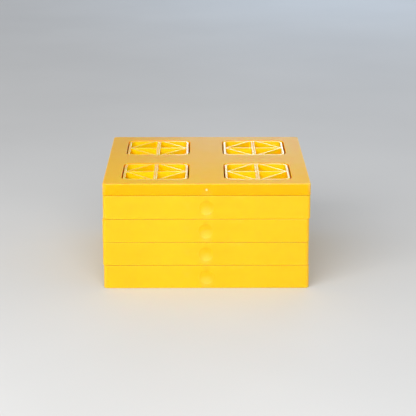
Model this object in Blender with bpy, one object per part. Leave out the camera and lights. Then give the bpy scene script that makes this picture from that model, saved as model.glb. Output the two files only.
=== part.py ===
"""Stack of four interlocking levelling blocks under one flush cap plate. Metres, +Z up.

Each block is one injection moulding: a square deck on a skirt, four hollow square studs on top, and four
sockets underneath that drop over the studs of the block below. The cap plate has four square holes in
place of sockets, so the top block's studs fill them and the load gets one level face.
The origin is on the ground at the middle of the footprint. The faces that show gate marks look to -Y.
"""

import math

import bmesh
import bpy
from mathutils import Matrix, Vector

MM = 0.001

# Overall sizes
FOOTPRINT = 215.9 * MM
BLOCK_HEIGHT = 24.9 * MM
CAP_HEIGHT = 12.7 * MM
CORNER_RADIUS = 4.0 * MM
STACKED_BLOCKS = ("bottom_block", "second_block", "third_block", "top_block")

# Fits between stacked pieces
SEAT_GAP = 0.3 * MM
SOCKET_CLEARANCE = 1.5 * MM
STUD_RECESS = 0.45 * MM
STUD_HEADROOM = 3.75 * MM

# Studs: a square ring around a cross and a diamond of ribs
STUD_SPACING = 107.95 * MM
STUD_SIDE = 68.0 * MM
STUD_CORNER = 8.5 * MM
STUD_WALL = 2.5 * MM
RIB_WALL = 2.0 * MM
SPINE_WALL = 3.8 * MM
RIB_LANDING = 5.5 * MM

# Walls of the mouldings
SKIRT_WALL = 3.0 * MM
SKIRT_INNER_CORNER = 2.0 * MM
DECK_SKIN = 3.0 * MM
CAP_SKIN = 3.0 * MM
COLLAR_WALL = 2.5 * MM
WEB_WALL = 2.5 * MM
WEB_OFFSET = 19.0 * MM
SOCKET_ROOF = 3.0 * MM

# Gate marks in the front faces
DISH_DIAMETER = 16.0 * MM
DISH_DEPTH = 0.9 * MM
GATE_DIAMETER = 4.0 * MM
GATE_DEPTH = 0.6 * MM

# How far each piece has slid along X, as a share of the socket clearance, and turned, in degrees
SETTLED = {
    "bottom_block": (0.0, 0.0),
    "second_block": (-0.37, 0.0),
    "third_block": (-0.17, -0.17),
    "top_block": (0.09, 0.03),
    "flush_cap": (0.16, 0.0),
}

CORNER_SEGMENTS = 4
DISH_SEGMENTS = 24
DISH_RINGS = 3
DISH_OVERSIZE = 1.2
OVERCUT = 1.0 * MM
WELD = 0.001 * MM

STUD_HEIGHT = SEAT_GAP + CAP_HEIGHT - STUD_RECESS
SOCKET_DEPTH = STUD_HEIGHT - SEAT_GAP + STUD_HEADROOM
SOCKET_SIDE = STUD_SIDE + 2 * SOCKET_CLEARANCE
SOCKET_CORNER = STUD_CORNER + SOCKET_CLEARANCE
COLLAR_SIDE = SOCKET_SIDE + 2 * COLLAR_WALL
COLLAR_CORNER = SOCKET_CORNER + COLLAR_WALL
CELL_SIDE = STUD_SIDE - 2 * STUD_WALL
CELL_CORNER = STUD_CORNER - STUD_WALL
STACK_PITCH = BLOCK_HEIGHT + SEAT_GAP


def clear_scene():
    for thing in list(bpy.data.objects):
        bpy.data.objects.remove(thing, do_unlink=True)


def plastic(name, colour, roughness):
    """One moulded plastic, as a Principled material."""
    material = bpy.data.materials.new(name)
    material.use_nodes = True
    shader = material.node_tree.nodes["Principled BSDF"]
    shader.inputs["Base Color"].default_value = (*colour, 1.0)
    shader.inputs["Roughness"].default_value = roughness
    shader.inputs["Metallic"].default_value = 0.0
    return material


def placed(name, body):
    """Object made from a bmesh, in the scene."""
    mesh = bpy.data.meshes.new(name)
    body.to_mesh(mesh)
    body.free()
    thing = bpy.data.objects.new(name, mesh)
    bpy.context.scene.collection.objects.link(thing)
    return thing


def prism(name, side, radius, bottom, top, centre=(0.0, 0.0)):
    """Upright square prism with rounded corners."""
    height = top - bottom
    body = bmesh.new()
    bmesh.ops.create_cube(body, size=1.0)
    bmesh.ops.scale(body, vec=(side, side, height), verts=body.verts)
    bmesh.ops.translate(body, vec=(*centre, bottom + height / 2), verts=body.verts)
    upright = [edge for edge in body.edges if abs(edge.verts[0].co.z - edge.verts[1].co.z) > height / 2]
    bmesh.ops.bevel(
        body, geom=upright, offset=radius, segments=CORNER_SEGMENTS, profile=0.5, affect="EDGES"
    )
    return placed(name, body)


def bar(name, start, end, wall, bottom, top):
    """Upright wall of even thickness along a line in plan, from start to end."""
    start, end = Vector(start), Vector(end)
    along = end - start
    height = top - bottom
    body = bmesh.new()
    bmesh.ops.create_cube(body, size=1.0)
    bmesh.ops.scale(body, vec=(along.length, wall, height), verts=body.verts)
    turn = Matrix.Rotation(math.atan2(along.y, along.x), 3, "Z")
    middle = (start + end) / 2
    bmesh.ops.rotate(body, matrix=turn, verts=body.verts)
    bmesh.ops.translate(body, vec=(middle.x, middle.y, bottom + height / 2), verts=body.verts)
    return placed(name, body)


def combine(target, helper, operation):
    """Adds a Boolean that joins the helper to the target or cuts it away, and hides the helper."""
    helper.hide_render = True
    helper.display_type = "WIRE"
    step = target.modifiers.new(helper.name, "BOOLEAN")
    step.operation = operation
    step.object = helper


def finished_mesh(thing, name):
    """The object's mesh with its modifiers evaluated."""
    graph = bpy.context.evaluated_depsgraph_get()
    mesh = bpy.data.meshes.new_from_object(thing.evaluated_get(graph))
    mesh.name = name
    return mesh


def stud_centres():
    half = STUD_SPACING / 2
    return [(x, y) for x in (-half, half) for y in (-half, half)]


def cell_core(name, centre, floor, top):
    """The eight open cells of a stud: its inside, less the cross and the diamond of ribs."""
    middle = Vector(centre)
    reach = STUD_SIDE / 2
    inner = CELL_SIDE / 2
    above = top + OVERCUT
    below = floor - OVERCUT
    core = prism(name, CELL_SIDE, CELL_CORNER, floor, top, centre)
    side_to_side = (middle - Vector((reach, 0)), middle + Vector((reach, 0)))
    front_to_back = (middle - Vector((0, reach)), middle + Vector((0, reach)))
    combine(core, bar(f"{name}_rib", *side_to_side, RIB_WALL, below, above), "DIFFERENCE")
    combine(core, bar(f"{name}_spine", *front_to_back, SPINE_WALL, below, above), "DIFFERENCE")
    for toward_x in (-1, 1):
        for toward_y in (-1, 1):
            side = Vector((toward_x * inner, 0))
            end = Vector((toward_x * RIB_LANDING, toward_y * inner))
            past = (end - side).normalized() * STUD_WALL
            brace = bar(
                f"{name}_brace_{toward_x}_{toward_y}",
                middle + side - past,
                middle + end + past,
                RIB_WALL,
                below,
                above,
            )
            combine(core, brace, "DIFFERENCE")
    return core


def channel_core(name, ceiling):
    """The hollows under a deck: the inside of the skirt, less the collars and the webs between them."""
    core = prism(name, FOOTPRINT - 2 * SKIRT_WALL, SKIRT_INNER_CORNER, -OVERCUT, ceiling)
    below = -2 * OVERCUT
    above = ceiling + OVERCUT
    for number, centre in enumerate(stud_centres()):
        collar = prism(f"{name}_collar_{number}", COLLAR_SIDE, COLLAR_CORNER, below, above, centre)
        combine(core, collar, "DIFFERENCE")
    reach = FOOTPRINT / 2
    half = STUD_SPACING / 2
    lines = [0.0]
    for middle in (-half, half):
        lines += [middle - WEB_OFFSET, middle + WEB_OFFSET]
    for place in lines:
        along_y = bar(f"{name}_web_y_{place:.3f}", (place, -reach), (place, reach), WEB_WALL, below, above)
        along_x = bar(f"{name}_web_x_{place:.3f}", (-reach, place), (reach, place), WEB_WALL, below, above)
        combine(core, along_y, "DIFFERENCE")
        combine(core, along_x, "DIFFERENCE")
    return core


def gate_dish(height):
    """Lens that cuts a shallow round dish in the front face, where the plastic was fed in."""
    radius = DISH_DIAMETER / 2
    ball = (radius**2 + DISH_DEPTH**2) / (2 * DISH_DEPTH)
    deepest = -FOOTPRINT / 2 + DISH_DEPTH
    body = bmesh.new()
    profile = []
    for ring in range(DISH_RINGS + 1):
        away = DISH_OVERSIZE * radius * ring / DISH_RINGS
        drop = ball - math.sqrt(ball**2 - away**2)
        profile.append(body.verts.new((away, deepest - drop, height)))
    profile.append(body.verts.new((0, profile[-1].co.y, height)))
    edges = [body.edges.new(pair) for pair in zip(profile, profile[1:])]
    bmesh.ops.spin(
        body,
        geom=profile + edges,
        cent=(0, 0, height),
        axis=(0, 1, 0),
        angle=2 * math.pi,
        steps=DISH_SEGMENTS,
        use_merge=True,
    )
    bmesh.ops.remove_doubles(body, verts=body.verts, dist=WELD)
    bmesh.ops.recalc_face_normals(body, faces=body.faces)
    return placed("gate_dish", body)


def gate_hole(height):
    """The small round recess that keeps the trimmed sprue below the cap's front face."""
    body = bmesh.new()
    bmesh.ops.create_cone(
        body,
        cap_ends=True,
        segments=DISH_SEGMENTS,
        radius1=GATE_DIAMETER / 2,
        radius2=GATE_DIAMETER / 2,
        depth=2 * GATE_DEPTH,
    )
    bmesh.ops.rotate(body, matrix=Matrix.Rotation(math.pi / 2, 3, "X"), verts=body.verts)
    bmesh.ops.translate(body, vec=(0, -FOOTPRINT / 2, height), verts=body.verts)
    return placed("gate_hole", body)


def block_mesh():
    """The moulding that all four blocks share, with its skirt's rim at height 0."""
    block = prism("block_blank", FOOTPRINT, CORNER_RADIUS, 0, BLOCK_HEIGHT)
    combine(block, gate_dish(BLOCK_HEIGHT / 2), "DIFFERENCE")
    stud_top = BLOCK_HEIGHT + STUD_HEIGHT
    root = BLOCK_HEIGHT - DECK_SKIN / 2
    for number, centre in enumerate(stud_centres()):
        stud = prism(f"stud_{number}", STUD_SIDE, STUD_CORNER, root, stud_top, centre)
        combine(block, stud, "UNION")
    for number, centre in enumerate(stud_centres()):
        socket = prism(f"socket_{number}", SOCKET_SIDE, SOCKET_CORNER, -OVERCUT, SOCKET_DEPTH, centre)
        combine(block, socket, "DIFFERENCE")
        cell_floor = SOCKET_DEPTH + SOCKET_ROOF
        combine(block, cell_core(f"cells_{number}", centre, cell_floor, stud_top + OVERCUT), "DIFFERENCE")
    combine(block, channel_core("block_channels", BLOCK_HEIGHT - DECK_SKIN), "DIFFERENCE")
    return finished_mesh(block, "block")


def cap_mesh():
    """The cap plate, with its skirt's rim at height 0."""
    cap = prism("cap_blank", FOOTPRINT, CORNER_RADIUS, 0, CAP_HEIGHT)
    combine(cap, gate_hole(CAP_HEIGHT / 2), "DIFFERENCE")
    for number, centre in enumerate(stud_centres()):
        hole = prism(
            f"cap_hole_{number}", SOCKET_SIDE, SOCKET_CORNER, -OVERCUT, CAP_HEIGHT + OVERCUT, centre
        )
        combine(cap, hole, "DIFFERENCE")
    combine(cap, channel_core("cap_channels", CAP_HEIGHT - CAP_SKIN), "DIFFERENCE")
    return finished_mesh(cap, "cap")


def stack_piece(name, mesh, material, height):
    """One moulding in its place in the stack, with its origin at the middle of its rim."""
    slid, turned = SETTLED[name]
    piece = bpy.data.objects.new(name, mesh)
    piece.location = (slid * SOCKET_CLEARANCE, 0, height)
    piece.rotation_euler = (0, 0, math.radians(turned))
    if not mesh.materials:
        mesh.materials.append(material)
    bpy.context.scene.collection.objects.link(piece)


def main():
    clear_scene()
    block = block_mesh()
    cap = cap_mesh()
    clear_scene()
    block_plastic = plastic("yellow_block", (0.95, 0.62, 0.02), 0.42)
    cap_plastic = plastic("yellow_cap", (0.94, 0.56, 0.01), 0.38)
    for level, name in enumerate(STACKED_BLOCKS):
        stack_piece(name, block, block_plastic, level * STACK_PITCH)
    stack_piece("flush_cap", cap, cap_plastic, len(STACKED_BLOCKS) * STACK_PITCH)


main()
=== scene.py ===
# %% [markdown]
# # A stack of levelling blocks under a flush cap
#
# The object is five plastic mouldings: four blocks, all from one mould, and a cap plate. A camper stacks the
# blocks under a wheel or a jack until the trailer is level. Nothing but their shape holds them together:
# square studs on top of each block fill square sockets under the next. The cap has holes instead of sockets,
# so the last studs come up through it and the top is one level face.
#
# The frame brings each moulding in as a plain solid in its right place. This file gives them the shape that
# the mould gives them: drafted walls, rounded edges, ribbed studs, webs underneath and the mark where the
# plastic was fed in. Then it gives them their plastic.

# %% The frame and its measures
import math

import bmesh
import bpy
import numpy as np
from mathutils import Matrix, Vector


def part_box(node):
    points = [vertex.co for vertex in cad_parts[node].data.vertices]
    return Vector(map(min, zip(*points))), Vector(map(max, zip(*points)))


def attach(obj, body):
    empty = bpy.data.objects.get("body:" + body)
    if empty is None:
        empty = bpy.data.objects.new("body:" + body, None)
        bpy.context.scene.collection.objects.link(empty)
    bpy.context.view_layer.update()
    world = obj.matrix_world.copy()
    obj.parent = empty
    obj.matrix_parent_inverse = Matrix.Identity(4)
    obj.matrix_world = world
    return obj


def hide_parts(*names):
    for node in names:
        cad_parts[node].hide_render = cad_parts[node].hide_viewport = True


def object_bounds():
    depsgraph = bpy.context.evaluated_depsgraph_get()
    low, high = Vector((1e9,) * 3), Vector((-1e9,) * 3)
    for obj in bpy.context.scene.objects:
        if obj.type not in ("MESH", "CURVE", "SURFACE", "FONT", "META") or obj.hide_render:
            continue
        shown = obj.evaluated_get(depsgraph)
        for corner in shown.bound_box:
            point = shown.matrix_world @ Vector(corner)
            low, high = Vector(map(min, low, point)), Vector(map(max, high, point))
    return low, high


MM = 0.001

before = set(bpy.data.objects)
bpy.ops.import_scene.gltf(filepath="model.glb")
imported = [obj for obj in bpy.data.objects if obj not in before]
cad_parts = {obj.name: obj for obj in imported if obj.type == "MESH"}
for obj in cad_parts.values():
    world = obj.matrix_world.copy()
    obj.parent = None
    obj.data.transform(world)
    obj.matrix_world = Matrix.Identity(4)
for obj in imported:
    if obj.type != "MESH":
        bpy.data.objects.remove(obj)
cad_low, cad_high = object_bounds()

BLOCKS = ("bottom_block", "second_block", "third_block", "top_block")
CAP = "flush_cap"

for node in (*BLOCKS, CAP):
    low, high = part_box(node)
    print(node, "from", [round(v / MM, 2) for v in low], "to", [round(v / MM, 2) for v in high], "mm")

# %% [markdown]
# The main measures are read from the frame. The bottom block stands square on the ground, so its box gives
# the footprint, and the step from one block to the next gives the height of a deck. The small measures of
# the ribs and walls are typical of a strong moulding: ribs of 2 to 2.5 mm on a skin of 3 mm, because a rib
# as thick as its skin would leave a sink mark on the other side.

# %% Measures of the mouldings
SEAT_GAP = 0.3 * MM

base_low, base_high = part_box(BLOCKS[0])
next_low, next_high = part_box(BLOCKS[1])
cap_low, cap_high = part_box(CAP)

FOOTPRINT = base_high.x - base_low.x
DECK = next_low.z - base_low.z - SEAT_GAP
STUD_TOP = base_high.z - base_low.z
CAP_HEIGHT = cap_high.z - cap_low.z

CORNER = 4.0 * MM
DRAFT = 0.2 * MM

STUD_SPACING = 107.95 * MM
STUD_SIDE = 68.0 * MM
STUD_CORNER = 8.5 * MM
STUD_WALL = 2.5 * MM
RIB = 2.0 * MM
SPINE = 3.8 * MM
SPINE_GROOVE = 1.2 * MM
SPINE_GROOVE_DEPTH = 0.9 * MM
RIB_LANDING = 5.5 * MM
CELL_CORNER = 0.8 * MM

SOCKET_CLEARANCE = 1.5 * MM
SOCKET_SIDE = STUD_SIDE + 2 * SOCKET_CLEARANCE
SOCKET_CORNER = STUD_CORNER + SOCKET_CLEARANCE
SOCKET_CEILING = 16.0 * MM
CELL_FLOOR = 19.0 * MM
SKIN = 3.0 * MM
SKIRT = 3.0 * MM
COLLAR = 2.5 * MM
WEB = 2.5 * MM
WEB_OFFSET = 19.0 * MM
SKIRT_INNER_CORNER = 2.0 * MM
POCKET_CORNER = 1.2 * MM

PAST = 1.0 * MM
TOUCH = 0.01 * MM
HALF = FOOTPRINT / 2

STUD_CENTRES = [(x * STUD_SPACING / 2, y * STUD_SPACING / 2) for x in (-1, 1) for y in (-1, 1)]

print("footprint", round(FOOTPRINT / MM, 2), "deck", round(DECK / MM, 2), "stud top", round(STUD_TOP / MM, 2))

# %% [markdown]
# A Blender operator acts on all that is selected, as it does when you work by hand. So every step starts by
# selecting nothing, and then takes only the piece, the faces or the edges that it means. Edges are found by
# where they lie and by how sharp they are.

# %% Picking pieces and edges
SHARP = math.radians(30)
UPRIGHT_SHARE = 0.9


def deselect_all():
    if bpy.context.mode != "OBJECT":
        bpy.ops.object.mode_set(mode="OBJECT")
    bpy.ops.object.select_all(action="DESELECT")


def take(piece):
    """Makes this the one selected and active piece."""
    deselect_all()
    piece.select_set(True)
    bpy.context.view_layer.objects.active = piece


def pick_edges(piece, wanted):
    """Opens the piece for editing with only the wanted edges selected, and says how many there are."""
    take(piece)
    bpy.ops.object.mode_set(mode="EDIT")
    bpy.ops.mesh.select_mode(type="EDGE")
    bpy.ops.mesh.select_all(action="DESELECT")
    shape = bmesh.from_edit_mesh(piece.data)
    chosen = [edge for edge in shape.edges if wanted(edge)]
    for edge in chosen:
        edge.select_set(True)
    bmesh.update_edit_mesh(piece.data)
    return len(chosen)


def is_sharp(edge):
    return len(edge.link_faces) == 2 and edge.calc_face_angle(0.0) > SHARP


def is_upright(edge):
    along = edge.verts[1].co - edge.verts[0].co
    return abs(along.z) > UPRIGHT_SHARE * along.length


def is_level_at(edge, height):
    return all(abs(vert.co.z - height) < TOUCH for vert in edge.verts)


def is_outside(edge):
    """True near the outer wall of a moulding."""
    return all(max(abs(vert.co.x), abs(vert.co.y)) > HALF - SKIRT / 2 for vert in edge.verts)


def is_outermost(edge):
    """True on the outer wall itself, with its rounded corners."""
    def beyond(vert):
        out_x, out_y = abs(vert.co.x) - (HALF - CORNER), abs(vert.co.y) - (HALF - CORNER)
        return max(out_x, out_y) if min(out_x, out_y) < 0 else math.hypot(out_x, out_y)

    return all(beyond(vert) > CORNER - MM for vert in edge.verts)


def round_edges(piece, wanted, radius, segments):
    """Rounds the wanted edges, outside or inside ones alike."""
    count = pick_edges(piece, wanted)
    if count:
        bpy.ops.mesh.bevel(
            offset=radius,
            segments=segments,
            profile=0.5,
            affect="EDGES",
            clamp_overlap=False,
            loop_slide=False,
        )
    bpy.ops.object.mode_set(mode="OBJECT")
    return count


# %% [markdown]
# The mould itself is steel: a block of it is milled out for the outside of the part, and steel cores stand
# where the part is hollow. The model is made in the same way. A post is a square bar with rounded corners. A
# fence is a thin wall between two points. A core is a post with fences taken out of it, and carving the core
# out of a solid block leaves the fences standing as ribs. It's less work than building every rib and joining
# it, and ribs made this way are always one piece with their floor.

# %% Posts, fences and carving
def post(name, side, corner, bottom, top, centre=(0.0, 0.0), segments=8):
    """Square upright bar with rounded corners."""
    deselect_all()
    bpy.ops.mesh.primitive_cube_add(size=1, location=(*centre, (bottom + top) / 2))
    made = bpy.context.active_object
    made.name = name
    made.scale = (side, side, top - bottom)
    bpy.ops.object.transform_apply(location=True, rotation=True, scale=True)
    round_edges(made, is_upright, corner, segments)
    return made


def fence(name, start, end, width, bottom, top):
    """Thin upright wall from start to end, two points in plan."""
    start, end = Vector(start), Vector(end)
    along = end - start
    middle = (start + end) / 2
    deselect_all()
    bpy.ops.mesh.primitive_cube_add(size=1, location=(*middle, (bottom + top) / 2))
    made = bpy.context.active_object
    made.name = name
    made.rotation_euler.z = math.atan2(along.y, along.x)
    made.scale = (along.length, width, top - bottom)
    bpy.ops.object.transform_apply(location=True, rotation=True, scale=True)
    return made


def combined(name, pieces):
    """Several pieces as one object."""
    deselect_all()
    for piece in pieces:
        piece.select_set(True)
    bpy.context.view_layer.objects.active = pieces[0]
    if len(pieces) > 1:
        bpy.ops.object.join()
    pieces[0].name = name
    return pieces[0]


def carve(piece, tool, operation="DIFFERENCE"):
    """Cuts the tool out of the piece, or joins it on, and uses the tool up."""
    take(piece)
    step = piece.modifiers.new("carve", "BOOLEAN")
    step.operation = operation
    step.object = tool
    bpy.ops.object.modifier_apply(modifier=step.name)
    bpy.data.objects.remove(tool, do_unlink=True)
    return piece


def copied(piece, name, shift=(0.0, 0.0, 0.0)):
    """A copy with its own mesh, moved along."""
    take(piece)
    bpy.ops.object.duplicate(linked=False)
    twin = bpy.context.active_object
    twin.name = name
    twin.location = shift
    bpy.ops.object.transform_apply(location=True, rotation=True, scale=True)
    return twin


# %% [markdown]
# ## The cells of a stud
#
# A stud is a square ring, stiffened inside by a cross and by a diamond that joins the middles of its sides.
# Seen from above that leaves eight small cells, open at the top. The rib that runs front to back is nearly
# twice as thick as the others, with a shallow groove along its top, and the diamond's corners land a little
# to each side of it. Where two ribs meet, the mould's cutter leaves a small radius, so the core's upright
# corners are rounded before it is used.

# %% The core for one stud's cells
def cell_core(floor, top):
    """Core for the cells of a stud whose middle is at the origin."""
    inner = STUD_SIDE / 2 - STUD_WALL
    core = post("cell core", 2 * inner, STUD_CORNER - STUD_WALL, floor, top)
    low, high, reach = floor - PAST, top + PAST, STUD_SIDE / 2
    ribs = [
        fence("rib", (-reach, 0), (reach, 0), RIB, low, high),
        fence("spine", (0, -reach), (0, reach), SPINE, low, high),
    ]
    for toward_x in (-1, 1):
        for toward_y in (-1, 1):
            side = Vector((toward_x * inner, 0))
            end = Vector((toward_x * RIB_LANDING, toward_y * inner))
            past = (end - side).normalized() * STUD_WALL
            ribs.append(fence("brace", side - past, end + past, RIB, low, high))
    for rib in ribs:
        carve(core, rib)
    rounded = round_edges(core, lambda edge: is_upright(edge) and is_sharp(edge), CELL_CORNER, 4)
    print("cell core with", rounded, "rounded corners and", len(core.data.polygons), "faces")
    return core


# %% [markdown]
# ## The hollows under a deck
#
# Underneath, the moulding is a skin on a skirt. A collar stands around each socket, and webs tie the collars
# to the skirt and to each other, so that a wheel on the edge doesn't fold the skirt in. The same pattern is
# under the blocks and under the cap, at two depths, so one function makes both cores.

# %% The core for the hollows
def channel_core(ceiling):
    """Core for the space inside the skirt, less the collars and the webs."""
    core = post("channel core", FOOTPRINT - 2 * SKIRT, SKIRT_INNER_CORNER, -PAST, ceiling)
    low, high = -2 * PAST, ceiling + PAST
    for centre in STUD_CENTRES:
        collar_corner = SOCKET_CORNER + COLLAR
        carve(core, post("collar", SOCKET_SIDE + 2 * COLLAR, collar_corner, low, high, centre))
    middle = STUD_SPACING / 2
    for place in (-middle - WEB_OFFSET, -middle + WEB_OFFSET, 0, middle - WEB_OFFSET, middle + WEB_OFFSET):
        carve(core, fence("web", (place, -HALF), (place, HALF), WEB, low, high))
        carve(core, fence("web", (-HALF, place), (HALF, place), WEB, low, high))
    rounded = round_edges(core, lambda edge: is_upright(edge) and is_sharp(edge), POCKET_CORNER, 3)
    print("channel core with", rounded, "rounded corners and", len(core.data.polygons), "faces")
    return core


# %% [markdown]
# ## The gate dish
#
# The plastic enters the mould through a gate in the middle of the front wall. A shallow round dish there
# keeps the broken-off sprue below the face. It's part of a ball: a flattened ball is set so that only its
# tip dips into the wall. A cylinder would leave a hard step, where the real dish fades out at its rim.

# %% The gate dish
DISH_RADIUS = 8.0 * MM
DISH_DEPTH = 1.0 * MM
BALL_BULGE = 1.9 * MM


def gate_dish(height):
    """Flattened ball whose tip dips into the front wall."""
    outside = BALL_BULGE - DISH_DEPTH
    wide = DISH_RADIUS / math.sqrt(1 - (outside / BALL_BULGE) ** 2)
    deselect_all()
    bpy.ops.mesh.primitive_uv_sphere_add(
        segments=64, ring_count=48, radius=1, location=(0, -HALF - outside, height)
    )
    ball = bpy.context.active_object
    ball.name = "gate dish"
    ball.scale = (wide, BALL_BULGE, wide)
    bpy.ops.object.transform_apply(location=True, rotation=True, scale=True)
    return ball


# %% [markdown]
# ## One block
#
# The block starts as a plain post as high as its deck. Its top is drawn in by the draft, a fifth of a
# millimetre, which lets the moulding out of the mould and leaves each rim standing just proud of the deck
# below it. Then the studs are joined on and the cores are carved out. Last, the edges are rounded, in groups:
# about half a millimetre on the rims that meet at a seam, a little more where a wall meets a ceiling, and
# least on the inner rims, which stay crisp.

# %% Draft and smooth faces
SMOOTH_BELOW = math.radians(35)
FLAT_FIRST = 100


def draw_in_top(piece, top):
    """Gives the outer walls their draft."""
    pick_edges(piece, lambda edge: is_level_at(edge, top))
    share = 1 - DRAFT / HALF
    bpy.ops.transform.resize(value=(share, share, 1), center_override=(0, 0, top))
    bpy.ops.object.mode_set(mode="OBJECT")


def make_smooth(piece):
    """Smooth rounds beside truly flat faces."""
    take(piece)
    bpy.ops.object.shade_smooth_by_angle(angle=SMOOTH_BELOW)
    flat = piece.modifiers.new("flat faces", "WEIGHTED_NORMAL")
    flat.keep_sharp = True
    flat.weight = FLAT_FIRST
    bpy.ops.object.modifier_apply(modifier=flat.name)


def triangles(piece):
    piece.data.calc_loop_triangles()
    return len(piece.data.loop_triangles)


# %% The block
def make_block():
    block = post("block", FOOTPRINT, CORNER, 0, DECK)
    draw_in_top(block, DECK)
    carve(block, gate_dish(DECK / 2))
    for centre in STUD_CENTRES:
        stud = post("stud", STUD_SIDE, STUD_CORNER, DECK - SKIN / 2, STUD_TOP, centre, segments=10)
        carve(block, stud, "UNION")
    cells = cell_core(CELL_FLOOR, STUD_TOP + PAST)
    cores = []
    for x, y in STUD_CENTRES:
        cores.append(post("socket", SOCKET_SIDE, SOCKET_CORNER, -PAST, SOCKET_CEILING, (x, y), segments=10))
        cores.append(copied(cells, "cells", (x, y, 0)))
        groove_reach = STUD_SIDE / 2 - STUD_WALL
        groove_low = STUD_TOP - SPINE_GROOVE_DEPTH
        ends = ((x, y - groove_reach), (x, y + groove_reach))
        cores.append(fence("groove", *ends, SPINE_GROOVE, groove_low, STUD_TOP + PAST))
    bpy.data.objects.remove(cells, do_unlink=True)
    carve(block, combined("cores", cores))
    carve(block, channel_core(DECK - SKIN))
    return block


block = make_block()
print("block carved:", triangles(block), "triangles")

# %% Rounding the block
def round_block(piece):
    groups = (
        ("deck rim", lambda e: is_sharp(e) and is_level_at(e, DECK) and is_outside(e), 0.45 * MM, 3),
        ("stud tops", lambda e: is_sharp(e) and is_level_at(e, STUD_TOP), 0.4 * MM, 3),
        ("stud feet", lambda e: is_sharp(e) and is_level_at(e, DECK) and not is_outside(e), 0.5 * MM, 2),
        ("foot rim", lambda e: is_sharp(e) and is_level_at(e, 0) and is_outermost(e), 0.55 * MM, 4),
        ("inner rims", lambda e: is_sharp(e) and is_level_at(e, 0) and not is_outermost(e), 0.3 * MM, 2),
        ("cell floors", lambda e: is_sharp(e) and is_level_at(e, CELL_FLOOR), 0.5 * MM, 2),
        ("socket ceilings", lambda e: is_sharp(e) and is_level_at(e, SOCKET_CEILING), 0.6 * MM, 2),
        ("pocket ceilings", lambda e: is_sharp(e) and is_level_at(e, DECK - SKIN), 0.6 * MM, 2),
    )
    for name, wanted, radius, segments in groups:
        print(name, round_edges(piece, wanted, radius, segments), "edges rounded to", radius / MM, "mm")


round_block(block)
make_smooth(block)
print("block finished:", triangles(block), "triangles")

# %% [markdown]
# ## The cap
#
# The cap is the same plate at half the height, with holes right through where the blocks have sockets. Its
# gate left a small peg, trimmed short, in a round recess of its own in the middle of the front edge.

# %% The cap
GATE_RADIUS = 2.3 * MM
GATE_DEPTH = 0.5 * MM
PEG_RADIUS = 1.2 * MM


def upright_disc(name, radius, front, back, height, sides=40):
    """Disc that stands in the front wall, between two depths."""
    deselect_all()
    bpy.ops.mesh.primitive_cylinder_add(
        vertices=sides,
        radius=radius,
        depth=back - front,
        location=(0, (front + back) / 2, height),
        rotation=(math.pi / 2, 0, 0),
    )
    disc = bpy.context.active_object
    disc.name = name
    bpy.ops.object.transform_apply(location=True, rotation=True, scale=True)
    return disc


def make_cap():
    cap = post("cap", FOOTPRINT, CORNER, 0, CAP_HEIGHT)
    draw_in_top(cap, CAP_HEIGHT)
    gate_height = CAP_HEIGHT / 2
    carve(cap, upright_disc("gate", GATE_RADIUS, -HALF - PAST, -HALF + GATE_DEPTH, gate_height))
    peg = upright_disc("peg", PEG_RADIUS, -HALF + DRAFT / 2, -HALF + GATE_DEPTH + PAST, gate_height, sides=24)
    carve(cap, peg, "UNION")
    for centre in STUD_CENTRES:
        carve(cap, post("hole", SOCKET_SIDE, SOCKET_CORNER, -PAST, CAP_HEIGHT + PAST, centre, segments=10))
    carve(cap, channel_core(CAP_HEIGHT - SKIN))
    return cap


def round_cap(piece):
    def in_gate(edge):
        return all(Vector((v.co.x, v.co.z - CAP_HEIGHT / 2)).length < 2 * GATE_RADIUS for v in edge.verts)

    groups = (
        ("top rim", lambda e: is_sharp(e) and is_level_at(e, CAP_HEIGHT) and is_outside(e), 0.6 * MM, 4),
        ("hole rims", lambda e: is_sharp(e) and is_level_at(e, CAP_HEIGHT) and not is_outside(e), 0.6 * MM, 3),
        ("foot rim", lambda e: is_sharp(e) and is_level_at(e, 0) and is_outermost(e), 0.55 * MM, 4),
        ("inner rims", lambda e: is_sharp(e) and is_level_at(e, 0) and not is_outermost(e), 0.3 * MM, 2),
        ("ceilings", lambda e: is_sharp(e) and is_level_at(e, CAP_HEIGHT - SKIN), 0.6 * MM, 2),
        ("gate", lambda e: is_sharp(e) and is_outside(e) and in_gate(e), 0.15 * MM, 2),
    )
    for name, wanted, radius, segments in groups:
        print(name, round_edges(piece, wanted, radius, segments), "edges rounded to", radius / MM, "mm")


cap = make_cap()
round_cap(cap)
make_smooth(cap)
print("cap finished:", triangles(cap), "triangles")

# %% [markdown]
# ## The stack
#
# Real blocks never stack quite true, because the sockets have a millimetre and a half of play. The frame has
# each one slid and turned a little, and the moulding is put exactly there: its middle from the frame's box,
# and its turn from the slope of the frame's front wall. The third block also leans by a tenth of a degree, so
# the seam above it is open at the left and closes to the right.

# %% Into place
def settled(node):
    """Middle, height and turn of a moulding in the frame."""
    low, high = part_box(node)
    points = np.array([vert.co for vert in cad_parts[node].data.vertices])
    middle_x = (low.x + high.x) / 2
    front = points[(points[:, 1] < low.y + MM) & (abs(points[:, 0] - middle_x) > HALF - 2 * CORNER)]
    right = front[:, 0] > middle_x
    across = front[right, 0].mean() - front[~right, 0].mean()
    turn = math.atan2(front[right, 1].min() - front[~right, 1].min(), across)
    return Vector((middle_x, (low.y + high.y) / 2, low.z)), turn


ROCKED = {"third_block": math.radians(-0.09)}


def put_in_place(pattern, node):
    """A copy of the finished moulding, in the place that the frame gives it."""
    place, turn = settled(node)
    piece = copied(pattern, f"{node}_moulding")
    piece.rotation_euler = (0, ROCKED.get(node, 0), turn)
    piece.location = place
    take(piece)
    bpy.ops.object.transform_apply(location=True, rotation=True, scale=True)
    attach(piece, node)
    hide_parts(node)
    print(node, "moved by", [round(v / MM, 2) for v in place], "and turned", round(math.degrees(turn), 3))
    return piece, place, turn


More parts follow.
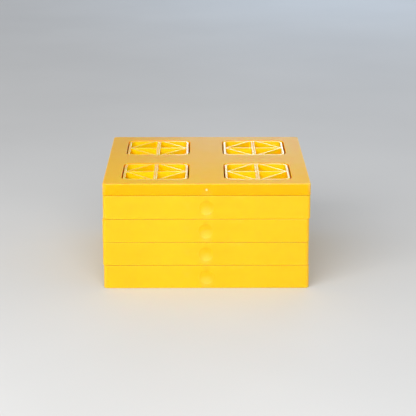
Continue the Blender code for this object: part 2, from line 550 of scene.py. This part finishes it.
mouldings = {}
for node in BLOCKS:
    mouldings[node] = put_in_place(block, node)
mouldings[CAP] = put_in_place(cap, CAP)
for pattern in (block, cap):
    bpy.data.objects.remove(pattern, do_unlink=True)

# %% [markdown]
# ## The plastic
#
# The blocks are polypropylene in a strong yellow, the cap a shade deeper. A material is a small sum: where on
# the moulding a point lies, what noise says there, and what that does to the colour, the gloss and the bump.
# Writing such sums node by node hides the sum, so one class holds a socket and lets plain arithmetic add the
# Math nodes, and one method adds every other kind of node.

# %% A socket that can be added, multiplied and compared
class Value:
    """What comes out of one socket. Arithmetic on it adds Math nodes."""

    def __init__(self, tree, socket):
        self.tree = tree
        self.socket = socket

    def maths(self, operation, *values, clamp=False):
        node = self.tree.nodes.new("ShaderNodeMath")
        node.operation = operation
        node.use_clamp = clamp
        for slot, value in zip(node.inputs, values):
            if isinstance(value, Value):
                self.tree.links.new(value.socket, slot)
            else:
                slot.default_value = value
        return Value(self.tree, node.outputs[0])

    def __add__(self, other):
        return self.maths("ADD", self, other)

    __radd__ = __add__

    def __sub__(self, other):
        return self.maths("SUBTRACT", self, other)

    def __rsub__(self, other):
        return self.maths("SUBTRACT", other, self)

    def __mul__(self, other):
        return self.maths("MULTIPLY", self, other)

    __rmul__ = __mul__

    def __pow__(self, other):
        return self.maths("POWER", self, other)

    def __abs__(self):
        return self.maths("ABSOLUTE", self)

    def larger(self, other):
        return self.maths("MAXIMUM", self, other)

    def smaller(self, other):
        return self.maths("MINIMUM", self, other)

    def ramp(self, low, high):
        """0 below low, 1 above high and straight between."""
        return self.maths("MULTIPLY", self - low, 1 / (high - low), clamp=True)


# %% A material that is built up
class Finish:
    """One material, with the point on the moulding that it colours."""

    def __init__(self, name, middle, turn):
        self.material = bpy.data.materials.new(name)
        self.material.use_nodes = True
        self.tree = self.material.node_tree
        self.shader = self.tree.nodes["Principled BSDF"]
        coordinates = self.add("ShaderNodeTexCoord", output="Object")
        shift = [-value for value in middle]
        moved = self.add("ShaderNodeVectorMath", {"operation": "ADD"}, {0: coordinates, 1: shift}, "Vector")
        spin = {"vector_type": "POINT"}
        self.point = self.add("ShaderNodeMapping", spin, {"Vector": moved, "Rotation": (0, 0, -turn)}, "Vector")
        self.x, self.y, self.z = self.parts(self.point)

    def add(self, kind, settings=None, inputs=None, output=0):
        """Adds a node. Settings come first, then the values or links of its sockets."""
        node = self.tree.nodes.new(kind)
        for key, value in (settings or {}).items():
            setattr(node, key, value)
        for key, value in (inputs or {}).items():
            if isinstance(value, Value):
                self.tree.links.new(value.socket, node.inputs[key])
            else:
                node.inputs[key].default_value = value
        return Value(self.tree, node.outputs[output])

    def parts(self, vector):
        node = self.tree.nodes.new("ShaderNodeSeparateXYZ")
        self.tree.links.new(vector.socket, node.inputs[0])
        return [Value(self.tree, socket) for socket in node.outputs]

    def noise(self, size, detail=2.0, stretch=None, turn=(0, 0, 0), rough=0.5):
        """Soft noise whose blotches are about this size, in metres."""
        where = self.point
        if stretch:
            where = self.add("ShaderNodeMapping", None, {"Vector": where, "Rotation": turn, "Scale": stretch})
        inputs = {"Vector": where, "Scale": 1 / size, "Detail": detail, "Roughness": rough}
        return self.add("ShaderNodeTexNoise", None, inputs, "Fac")

    def blend(self, share, first, second):
        """A colour between two colours."""
        inputs = {0: share, 6: first, 7: second}
        return self.add("ShaderNodeMix", {"data_type": "RGBA"}, inputs, 2)

    def feed(self, **sockets):
        for name, value in sockets.items():
            slot = self.shader.inputs[name.replace("_", " ")]
            if isinstance(value, Value):
                self.tree.links.new(value.socket, slot)
            else:
                slot.default_value = value


# %% [markdown]
# Moulded polypropylene isn't one even colour. The pigment flows in faint clouds, the skin has a fine grain
# from the steel, and use adds scuffs: fine straight scratches, thickest on top, that scatter light and so
# look paler and duller. Edges get knocked first. They go pale, in patches, and on the cap's top rim the pale
# is mostly a painted highlight. Around the gate, painted light sits on the dish's lower slope, below its
# middle, and a small spot of painted shade sits on its upper lip, above it.
#
# Where the plastic is sheltered, in the cells and underneath, a brighter colour is painted light that brightens
# the hollows, and down in the slot between a stud and its hole an orange painted glow stands for light bounced
# off orange walls. The foot of each outer wall, along the seam, has painted shade. The deck has painted shade
# too, more so towards the rear, with a thin worn sheen over it that also grows towards the rear.

# %% Colours of the plastic
BLOCK_BODY = (0.86, 0.530, 0.004, 1.0)
BLOCK_DEEP = (0.84, 0.500, 0.002, 1.0)
CAP_BODY = (0.84, 0.480, 0.003, 1.0)
CAP_DEEP = (0.82, 0.455, 0.002, 1.0)
# Painted light: a brighter colour in the cells, sockets and under the deck
RECESS_LIGHT = (0.98, 0.660, 0.002, 1.0)
# Painted glow of light bounced down the slot around a stud
SLOT_GLOW = (0.98, 0.400, 0.001, 1.0)
# Painted shade at the foot of each outer wall, along the seam
SEAM_SHADE = (0.97, 0.530, 0.001, 1.0)
# Painted shade on the deck, deeper towards the rear
DECK_SHADE = (0.70, 0.350, 0.004, 1.0)
PALE = (1.0, 0.80, 0.36, 1.0)
# Painted light on the lower slope of the gate dish
DISH_LIGHT = (1.0, 0.74, 0.22, 1.0)
# Painted shade on the upper lip of the gate dish
DISH_SHADE = (0.86, 0.43, 0.001, 1.0)
# Painted shade, darker towards the bottom of the cap's front
CAP_LOW_SHADE = (0.83, 0.40, 0.001, 1.0)
NIB_PALE = (1.0, 0.66, 0.34, 1.0)

# %% Where the marks lie, and how strong they are
# Painted light below the gate dish's middle
DISH_LIGHT_DROP = 6.0 * MM
DISH_LIGHT_CORE, DISH_LIGHT_REACH = 2.0 * MM, 8.0 * MM
DISH_LIGHT_SHARE = 0.16
# Painted shade above the gate dish's middle, on its upper lip
DISH_SHADE_RISE = 7.0 * MM
DISH_SHADE_CORE, DISH_SHADE_REACH = 1.0 * MM, 4.0 * MM
DISH_SHADE_SHARE = 0.5
# Painted shade along the seam: full below the first height, gone above the second
SEAM_DARK, SEAM_SHADE_END = 0.2 * MM, 0.9 * MM
SCUFF_SHARE = 0.22
# Share of the painted shade low on the cap's front
CAP_LOW_SHADE_SHARE = 0.7
# Painted shade on the deck: its share at the front and how much it grows to the rear
DECK_SHADE_FRONT, DECK_SHADE_GAIN = 0.45, 0.5

STUD_COAT = 0.3
DECK_COAT_FRONT, DECK_COAT_GAIN = 0.02, 0.26
COAT_ROUGHNESS = 0.3
STUD_POLISH = 0.2
SUBSURFACE_DEPTH = 3.0 * MM
SUBSURFACE_REACH = (1.0, 0.4, 0.08)
POLYPROPYLENE_IOR = 1.49

# Each scratch direction: how far it is turned, in radians, and how closely its scratches lie
SCRATCH_LANES = ((0.3, 1.0), (1.1, 1.4), (2.2, 0.8))
LANES_PER_METRE = 700


# %% The moulded plastic
def moulded_plastic(name, middle, turn, body, deep, height, polish, shine, wear_and_highlight, nib):
    """Plastic of a moulding whose deck is at this height. The nib is the radius of its gate's peg, or 0."""
    finish = Finish(name, middle, turn)
    x, y, z = finish.x, finish.y, finish.z

    clouds = finish.noise(60 * MM, detail=3)
    streaks = finish.noise(22 * MM, detail=2, stretch=(0.35, 0.35, 2.2))
    tint = (clouds * 0.6 + streaks * 0.4).ramp(0.35, 0.65)

    wall = abs(x).larger(abs(y))
    corner = abs(x).smaller(abs(y))
    near_wall = wall.ramp(HALF - 1.6 * MM, HALF - 0.2 * MM)
    near_top = z.ramp(height - 1.4 * MM, height - 0.2 * MM)
    near_corner = corner.ramp(HALF - 4.0 * MM, HALF - 1.0 * MM)
    knocks = finish.noise(5 * MM, detail=4, rough=0.65).ramp(0.46, 0.66)
    # Pale knocked edges, and on the cap's top rim mostly a painted highlight
    rim = near_wall * near_top
    worn_and_highlight = rim.larger(near_corner) * (knocks * 0.6 + 0.4)

    patches = finish.noise(35 * MM, detail=2).ramp(0.42, 0.7)
    scratches = 0.0
    for turned, lane in SCRATCH_LANES:
        stretch = (8, LANES_PER_METRE * lane, 8)
        along = finish.noise(0.5, detail=3, stretch=stretch, turn=(0, 0, turned))
        scratches = along.ramp(0.66, 0.74).larger(scratches)
    scuffs = scratches * patches

    front = (-1 * y).ramp(HALF - 2.4 * MM, HALF - 1.4 * MM)
    from_gate = (x * x + (z - height / 2) ** 2) ** 0.5
    # Painted light below the gate dish's middle and painted shade on its upper lip
    from_dish_light = (x * x + (z - height / 2 + DISH_LIGHT_DROP) ** 2) ** 0.5
    dish_light = (1 - from_dish_light.ramp(DISH_LIGHT_CORE, DISH_LIGHT_REACH)) * front
    from_dish_shade = (x * x + (z - height / 2 - DISH_SHADE_RISE) ** 2) ** 0.5
    dish_shade = (1 - from_dish_shade.ramp(DISH_SHADE_CORE, DISH_SHADE_REACH)) * front

    stud_top = z.ramp(STUD_TOP - 0.5 * MM, STUD_TOP - 0.3 * MM)
    from_below = z.ramp(height - 0.3 * MM, height - 0.1 * MM)
    deck = from_below - z.ramp(height + 0.1 * MM, height + 0.3 * MM)
    inside = 1 - wall.ramp(HALF - 1.5 * MM, HALF - 1.0 * MM)
    in_recess = (1 - deck) * inside * (1 - stud_top)
    across = abs(abs(x) - STUD_SPACING / 2).larger(abs(abs(y) - STUD_SPACING / 2))
    slot = across.ramp(STUD_SIDE / 2 - 0.6 * MM, STUD_SIDE / 2 - 0.3 * MM)
    seam = (1 - z.ramp(SEAM_DARK, SEAM_SHADE_END)) * (1 - inside)

    rearward = y.ramp(-HALF, HALF)

    colour = finish.blend(tint, body, deep)
    # Painted light in the cells, sockets and hollows
    colour = finish.blend(in_recess, colour, RECESS_LIGHT)
    # Painted glow in the slot between a stud and its hole
    colour = finish.blend(in_recess * slot, colour, SLOT_GLOW)
    # Painted shade along the seam under each moulding
    colour = finish.blend(seam, colour, SEAM_SHADE)
    # Painted shade on the deck, darker towards the rear
    colour = finish.blend(deck * (DECK_SHADE_FRONT + rearward * DECK_SHADE_GAIN), colour, DECK_SHADE)
    # Painted light and painted shade on the two slopes of the gate dish
    colour = finish.blend(dish_light * DISH_LIGHT_SHARE, colour, DISH_LIGHT)
    colour = finish.blend(dish_shade * DISH_SHADE_SHARE, colour, DISH_SHADE)
    colour = finish.blend(scuffs * SCUFF_SHARE, colour, PALE)
    # Paler edges: wear, and on the cap a painted highlight along the top rim
    colour = finish.blend(worn_and_highlight * wear_and_highlight, colour, PALE)
    if nib:
        # Painted shade: the cap's front is darker towards its bottom
        foot = (1 - z.ramp(0, height)) * front
        colour = finish.blend(foot * CAP_LOW_SHADE_SHARE, colour, CAP_LOW_SHADE)
        bruised = (1 - from_gate.ramp(nib * 0.8, nib * 1.05)) * front
        colour = finish.blend(bruised, colour, NIB_PALE)

    grain = finish.noise(0.55 * MM, detail=2)
    ripple = finish.noise(24 * MM, detail=2)
    gloss = finish.noise(18 * MM, detail=3).ramp(0.3, 0.7)
    roughness = polish + gloss * 0.07 + scuffs * 0.12 - worn_and_highlight * 0.10 - stud_top * STUD_POLISH
    lumps = grain * 0.12 + ripple * 2.0 - scuffs * 0.3
    bump = finish.add(
        "ShaderNodeBump", None, {"Strength": 0.35, "Distance": 0.1 * MM, "Height": lumps}, "Normal"
    )
    coat = stud_top * STUD_COAT + deck * (DECK_COAT_FRONT + rearward * DECK_COAT_GAIN)
    finish.feed(Base_Color=colour, Roughness=roughness, Normal=bump)
    finish.feed(IOR=POLYPROPYLENE_IOR, Specular_IOR_Level=shine)
    finish.feed(Coat_Weight=coat, Coat_Roughness=COAT_ROUGHNESS)
    finish.feed(Subsurface_Weight=1.0, Subsurface_Scale=SUBSURFACE_DEPTH, Subsurface_Radius=SUBSURFACE_REACH)
    return finish.material


# %% Plastic for the blocks and the cap
BLOCK_FINISH = {
    "body": BLOCK_BODY,
    "deep": BLOCK_DEEP,
    "height": DECK,
    "polish": 0.33,
    "shine": 0.3,
    "wear_and_highlight": 0.08,
    "nib": 0,
}
CAP_FINISH = {
    "body": CAP_BODY,
    "deep": CAP_DEEP,
    "height": CAP_HEIGHT,
    "polish": 0.45,
    "shine": 0.1,
    # On the cap the edge paleness is raised to paint a highlight along the top rim
    "wear_and_highlight": 0.35,
    "nib": PEG_RADIUS,
}

for node, (piece, place, turn) in mouldings.items():
    piece.data.materials.clear()
    if node == CAP:
        look = moulded_plastic(f"{node} plastic", place, turn, **CAP_FINISH)
    else:
        look = moulded_plastic(f"{node} plastic", place, turn, **BLOCK_FINISH)
    piece.data.materials.append(look)
    print(look.name, "has", len(look.node_tree.nodes), "nodes")

# %% [markdown]
# ## Floor, light and camera
#
# The stack stands on a plain pale floor. A wide soft light in front and a little above makes the front walls
# the brightest part. A faint bluish light, low and far behind, gives the deck its cool sheen, because plastic
# mirrors what is behind it at such a flat angle, and a pale surround fills the rest. The camera is far away
# with a long lens, a little above the stack.

# %% Floor
FLOOR_GAP = 0.05 * MM
FLOOR_SIDE = 8.0

deselect_all()
bpy.ops.mesh.primitive_plane_add(size=FLOOR_SIDE, location=(0, 0, cad_low.z - FLOOR_GAP))
floor = bpy.context.active_object
floor.name = "floor"
floor_look = Finish("pale floor", (0, 0, 0), 0)
floor_shade = floor_look.noise(0.4, detail=3).ramp(0.3, 0.7)
floor_colour = floor_look.blend(floor_shade, (0.60, 0.60, 0.59, 1.0), (0.64, 0.64, 0.63, 1.0))
floor_look.feed(Base_Color=floor_colour, Roughness=0.7)
floor.data.materials.append(floor_look.material)

# %% Light
BLUISH = (0.5, 0.72, 1.0)
SURROUND_COLOUR = (0.98, 0.98, 1.0, 1.0)
SURROUND_STRENGTH = 0.55


def soft_light(name, place, aim, size, power, colour=(1.0, 1.0, 1.0)):
    """Soft light of this width and height that looks at a point."""
    deselect_all()
    bpy.ops.object.light_add(type="AREA", location=place)
    lamp = bpy.context.active_object
    lamp.name = name
    lamp.data.shape = "RECTANGLE"
    lamp.data.size, lamp.data.size_y = size
    lamp.data.energy = power
    lamp.data.color = colour
    lamp.rotation_euler = (Vector(aim) - Vector(place)).to_track_quat("-Z", "Y").to_euler()
    return lamp


middle = (cad_low + cad_high) / 2
soft_light("front light", (-0.40, -1.44, 0.98), middle, (2.2, 0.9), 35.5)
soft_light("rear light", (0.58, 2.40, 0.60), middle, (1.4, 0.3), 5.5, BLUISH)

surround = bpy.data.worlds.new("pale surround")
bpy.context.scene.world = surround
surround.use_nodes = True
background = surround.node_tree.nodes["Background"]
background.inputs["Color"].default_value = SURROUND_COLOUR
background.inputs["Strength"].default_value = SURROUND_STRENGTH
bpy.context.scene.view_settings.view_transform = "Standard"

# %% Camera
CAMERA_PLACE = (-0.0050, -1.5375, 0.4929)
LOOKS_DOWN = math.radians(15.826)
LOOKS_RIGHT = math.radians(0.267)
SENSOR = 36.0
LENS = 124.07

deselect_all()
bpy.ops.object.camera_add(location=CAMERA_PLACE)
camera = bpy.context.active_object
camera.rotation_euler = (math.pi / 2 - LOOKS_DOWN, 0, -LOOKS_RIGHT)
camera.data.sensor_width = SENSOR
camera.data.lens = LENS
bpy.context.scene.camera = camera

bpy.context.view_layer.update()
